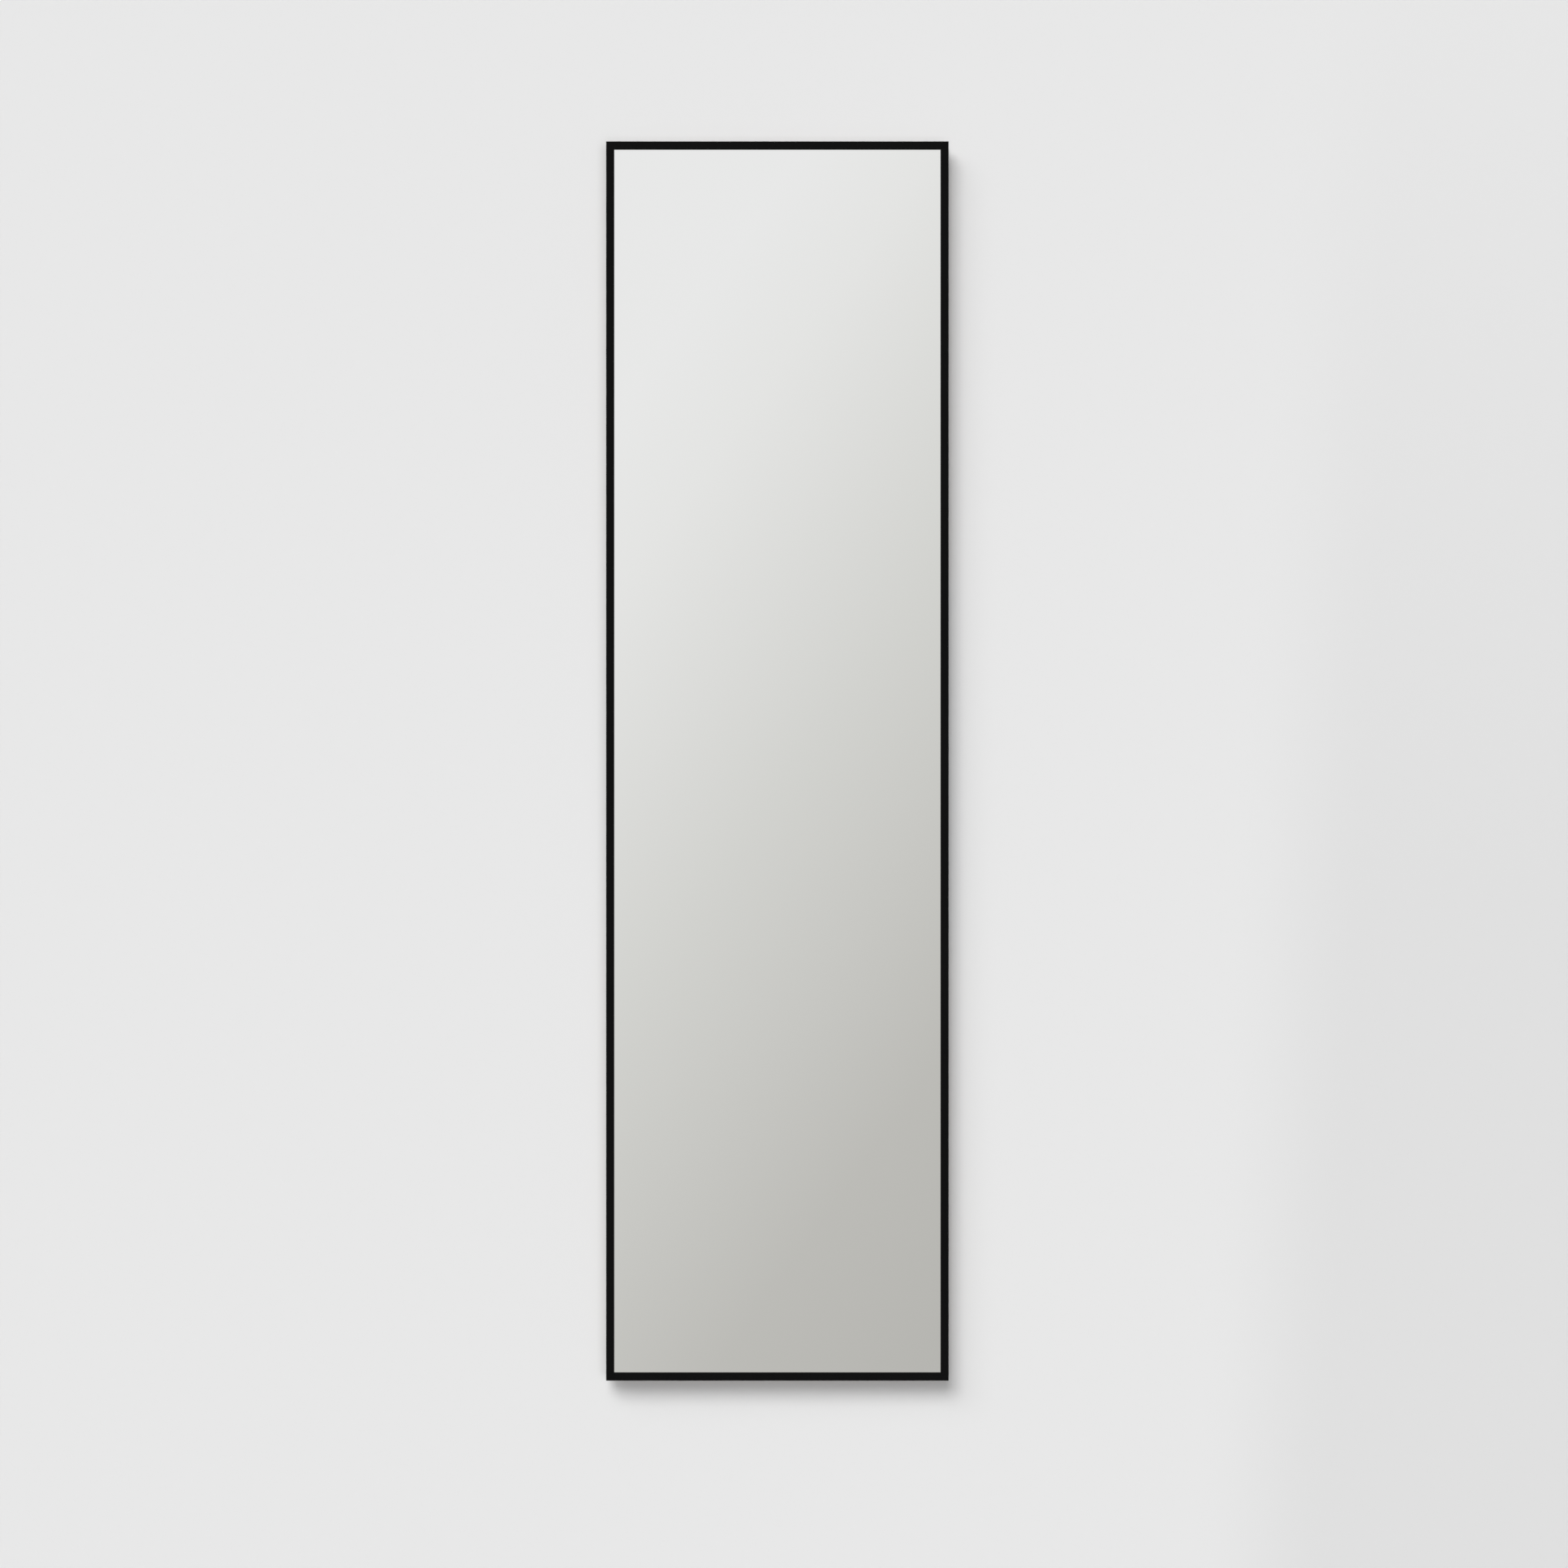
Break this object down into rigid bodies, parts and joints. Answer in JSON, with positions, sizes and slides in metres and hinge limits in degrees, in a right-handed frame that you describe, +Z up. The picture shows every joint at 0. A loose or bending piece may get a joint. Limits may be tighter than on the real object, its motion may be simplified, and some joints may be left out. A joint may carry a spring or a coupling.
{
  "type": "pull out closet mirror",
  "caption": "Tall framed mirror that pulls out along a closet wall on two ball runners and swings out on two hinge pins.",
  "frame": {"origin": "centre of the mounting plate's flat wall side, level with the middle of the mirror", "axes": "+X along the wall in the direction of the pull, +Y into the wall, +Z up; the mirror faces -Y at rest"},
  "size_m": [0.356, 0.0344, 1.288],
  "materials": {
    "frame_black": "fine matt black powder coat",
    "coated_steel": "matt black coat on pressed steel",
    "zinc_steel": "bright zinc plate",
    "ball_steel": "polished balls in a thin pressed cage",
    "key_alloy": "plain mill finish",
    "nylon": "natural white nylon",
    "rubber": "matt black rubber",
    "hardboard": "smooth brown hardboard",
    "mirror_glass": "silvered float glass"
  },
  "bodies": {
    "closet_side": {"mounting_plate": "coated_steel", "lower_outer_member": "zinc_steel", "upper_outer_member": "zinc_steel", "lower_end_cushion": "rubber", "upper_end_cushion": "rubber", "lower_runner_rivet_1": "zinc_steel", "lower_runner_rivet_2": "zinc_steel", "upper_runner_rivet_1": "zinc_steel", "upper_runner_rivet_2": "zinc_steel"},
    "lower_outer_cage": {"lower_outer_ball_cage": "ball_steel"},
    "upper_outer_cage": {"upper_outer_ball_cage": "ball_steel"},
    "lower_middle": {"lower_middle_member": "zinc_steel"},
    "upper_middle": {"upper_middle_member": "zinc_steel"},
    "lower_inner_cage": {"lower_inner_ball_cage": "ball_steel"},
    "upper_inner_cage": {"upper_inner_ball_cage": "ball_steel"},
    "carriage": {"lower_inner_member": "zinc_steel", "upper_inner_member": "zinc_steel", "carriage_bracket": "coated_steel", "lower_carriage_screw_1": "zinc_steel", "lower_carriage_screw_2": "zinc_steel", "upper_carriage_screw_1": "zinc_steel", "upper_carriage_screw_2": "zinc_steel", "lower_closing_bumper": "rubber", "upper_closing_bumper": "rubber", "lower_hinge_pin": "zinc_steel", "upper_hinge_pin": "zinc_steel", "lower_pin_clip": "zinc_steel", "upper_pin_clip": "zinc_steel"},
    "mirror_panel": {"mirror_glass": "mirror_glass", "backing_board": "hardboard", "left_stile": "frame_black", "top_rail": "frame_black", "right_stile": "frame_black", "bottom_rail": "frame_black", "lower_left_corner_key": "key_alloy", "upper_left_corner_key": "key_alloy", "upper_right_corner_key": "key_alloy", "lower_right_corner_key": "key_alloy", "lower_rail_spring_clip": "zinc_steel", "upper_rail_spring_clip": "zinc_steel", "left_stile_spring_clip_1": "zinc_steel", "left_stile_spring_clip_2": "zinc_steel", "left_stile_spring_clip_3": "zinc_steel", "right_stile_spring_clip_1": "zinc_steel", "right_stile_spring_clip_2": "zinc_steel", "right_stile_spring_clip_3": "zinc_steel", "lower_cross_bar": "key_alloy", "upper_cross_bar": "key_alloy", "lower_hinge_strap": "coated_steel", "upper_hinge_strap": "coated_steel", "lower_strap_screw_1": "zinc_steel", "lower_strap_screw_2": "zinc_steel", "upper_strap_screw_1": "zinc_steel", "upper_strap_screw_2": "zinc_steel", "lower_eye_top_bush": "nylon", "lower_eye_bottom_bush": "nylon", "upper_eye_top_bush": "nylon", "upper_eye_bottom_bush": "nylon"}
  },
  "joints": [
    {"name": "pull_out", "type": "slide", "parent": "closet_side", "child": "carriage", "axis": [1, 0, 0], "range_m": [0, 0.28]},
    {"name": "swivel", "type": "hinge", "parent": "carriage", "child": "mirror_panel", "pos_m": [0.17, -0.00993, 0], "axis": [0, 0, 1], "range_deg": [0, 90]},
    {"name": "lower_middle_run", "type": "slide", "parent": "closet_side", "child": "lower_middle", "axis": [1, 0, 0], "range_m": [0, 0.14]},
    {"name": "upper_middle_run", "type": "slide", "parent": "closet_side", "child": "upper_middle", "axis": [1, 0, 0], "range_m": [0, 0.14]},
    {"name": "lower_outer_cage_run", "type": "slide", "parent": "closet_side", "child": "lower_outer_cage", "axis": [1, 0, 0], "range_m": [0, 0.07]},
    {"name": "upper_outer_cage_run", "type": "slide", "parent": "closet_side", "child": "upper_outer_cage", "axis": [1, 0, 0], "range_m": [0, 0.07]},
    {"name": "lower_inner_cage_run", "type": "slide", "parent": "closet_side", "child": "lower_inner_cage", "axis": [1, 0, 0], "range_m": [0, 0.21]},
    {"name": "upper_inner_cage_run", "type": "slide", "parent": "closet_side", "child": "upper_inner_cage", "axis": [1, 0, 0], "range_m": [0, 0.21]}
  ],
  "couplings": [
    {"joint": "lower_middle_run", "follows": "pull_out", "ratio": 0.5},
    {"joint": "upper_middle_run", "follows": "pull_out", "ratio": 0.5},
    {"joint": "lower_outer_cage_run", "follows": "pull_out", "ratio": 0.25},
    {"joint": "upper_outer_cage_run", "follows": "pull_out", "ratio": 0.25},
    {"joint": "lower_inner_cage_run", "follows": "pull_out", "ratio": 0.75},
    {"joint": "upper_inner_cage_run", "follows": "pull_out", "ratio": 0.75}
  ]
}
